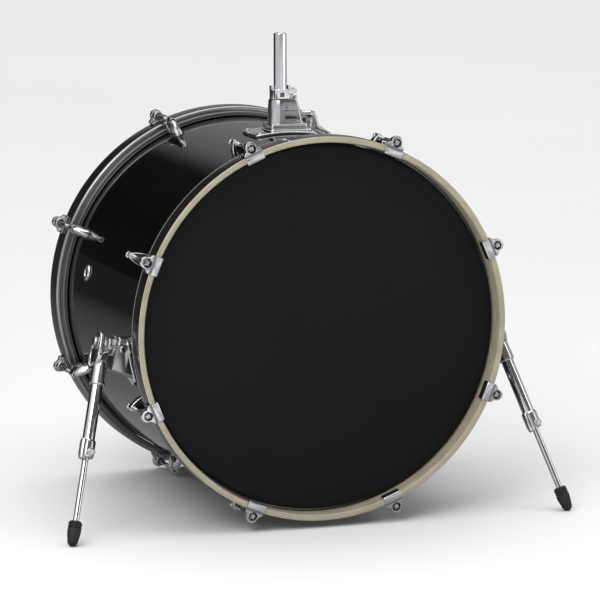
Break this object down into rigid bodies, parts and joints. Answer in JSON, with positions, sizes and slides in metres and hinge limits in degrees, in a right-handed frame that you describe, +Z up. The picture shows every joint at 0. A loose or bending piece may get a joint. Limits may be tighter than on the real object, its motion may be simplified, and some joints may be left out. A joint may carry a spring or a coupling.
{
  "type": "bass drum",
  "caption": "Bass drum with a gloss black wooden shell, pale-edged front hoop, chrome claws and lugs, folding telescopic spurs and a tom post.",
  "frame": {"origin": "on the floor, under the middle of the whole drum's outline", "axes": "+Z up, the front head faces -Y with its nose tilted up 1.5 degrees, and +X is to the right of somebody who looks at the front head"},
  "size_m": [0.8132, 0.5092, 0.7326],
  "materials": {
    "black_lacquer": "high-gloss black lacquer over wood",
    "black_lacquer_hoop": "gloss black lacquer over wood",
    "natural_wood": "pale natural wood edge, satin lacquer",
    "black_film": "matte black polyester film",
    "brushed_aluminium": "brushed",
    "polished_chrome": "polished chrome",
    "satin_chrome": "cast, chrome plated",
    "black_rubber": "matte black rubber"
  },
  "bodies": {
    "drum": {"shell": "black_lacquer", "vent_grommet": "polished_chrome", "front_head": "black_film", "front_flesh_hoop": "brushed_aluminium", "front_hoop": "natural_wood", "front_claw_1": "polished_chrome", "front_claw_2": "polished_chrome", "front_claw_3": "polished_chrome", "front_claw_4": "polished_chrome", "front_claw_5": "polished_chrome", "front_claw_6": "polished_chrome", "front_claw_7": "polished_chrome", "front_claw_8": "polished_chrome", "front_lug_1": "polished_chrome", "front_lug_2": "polished_chrome", "front_lug_3": "polished_chrome", "front_lug_4": "polished_chrome", "front_lug_5": "polished_chrome", "front_lug_6": "polished_chrome", "front_lug_7": "polished_chrome", "front_lug_8": "polished_chrome", "batter_head": "black_film", "batter_flesh_hoop": "brushed_aluminium", "batter_hoop": "black_lacquer_hoop", "batter_claw_1": "polished_chrome", "batter_claw_2": "polished_chrome", "batter_claw_3": "polished_chrome", "batter_claw_4": "polished_chrome", "batter_claw_5": "polished_chrome", "batter_claw_6": "polished_chrome", "batter_claw_7": "polished_chrome", "batter_claw_8": "polished_chrome", "batter_lug_1": "polished_chrome", "batter_lug_2": "polished_chrome", "batter_lug_3": "polished_chrome", "batter_lug_4": "polished_chrome", "batter_lug_5": "polished_chrome", "batter_lug_6": "polished_chrome", "batter_lug_7": "polished_chrome", "batter_lug_8": "polished_chrome", "tom_mount_plate": "polished_chrome", "tom_mount_holder": "satin_chrome", "spur_bracket_left": "satin_chrome", "spur_bracket_right": "satin_chrome"},
    "spur_leg_left": {"spur_head_left": "satin_chrome", "spur_tube_left": "polished_chrome", "spur_clamp_left": "satin_chrome"},
    "spur_extension_left": {"spur_rod_left": "polished_chrome", "spur_foot_left": "black_rubber"},
    "spur_bolt_left": {"spur_pivot_bolt_left": "polished_chrome"},
    "spur_leg_right": {"spur_head_right": "satin_chrome", "spur_tube_right": "polished_chrome", "spur_clamp_right": "satin_chrome"},
    "spur_extension_right": {"spur_rod_right": "polished_chrome", "spur_foot_right": "black_rubber"},
    "spur_bolt_right": {"spur_pivot_bolt_right": "polished_chrome"},
    "tom_post_assembly": {"tom_post": "polished_chrome", "tom_memory_lock": "satin_chrome"},
    "lock_bolt": {"tom_lock_bolt": "polished_chrome"},
    "wing_bolt": {"tom_wing_bolt": "satin_chrome"}
  },
  "joints": [
    {"name": "spur_fold_left", "type": "hinge", "parent": "drum", "child": "spur_leg_left", "pos_m": [-0.3151, -0.1267, 0.28181], "axis": [0.9573, -0.0076, -0.2889], "range_deg": [0, 111]},
    {"name": "spur_length_left", "type": "slide", "parent": "spur_leg_left", "child": "spur_extension_left", "axis": [-0.2693, -0.3865, -0.8821], "range_m": [-0.06, 0.04]},
    {"name": "spur_bolt_turn_left", "type": "hinge", "parent": "drum", "child": "spur_bolt_left", "pos_m": [-0.3151, -0.1267, 0.28181], "axis": [0.9573, -0.0076, -0.2889], "continuous": true},
    {"name": "spur_fold_right", "type": "hinge", "parent": "drum", "child": "spur_leg_right", "pos_m": [0.3151, -0.1267, 0.28181], "axis": [0.9573, 0.0076, 0.2889], "range_deg": [0, 111]},
    {"name": "spur_length_right", "type": "slide", "parent": "spur_leg_right", "child": "spur_extension_right", "axis": [0.2693, -0.3865, -0.8821], "range_m": [-0.06, 0.04]},
    {"name": "spur_bolt_turn_right", "type": "hinge", "parent": "drum", "child": "spur_bolt_right", "pos_m": [0.3151, -0.1267, 0.28181], "axis": [0.9573, 0.0076, 0.2889], "continuous": true},
    {"name": "tom_post_height", "type": "slide", "parent": "drum", "child": "tom_post_assembly", "axis": [0, 0.0262, 0.9997], "range_m": [0, 0.09]},
    {"name": "lock_bolt_turn", "type": "hinge", "parent": "tom_post_assembly", "child": "lock_bolt", "pos_m": [0.02, -0.02533, 0.63838], "axis": [0, 0.9997, -0.0262], "continuous": true},
    {"name": "wing_bolt_turn", "type": "hinge", "parent": "drum", "child": "wing_bolt", "pos_m": [0.03, -0.02619, 0.60539], "axis": [1, 0, 0], "continuous": true}
  ]
}
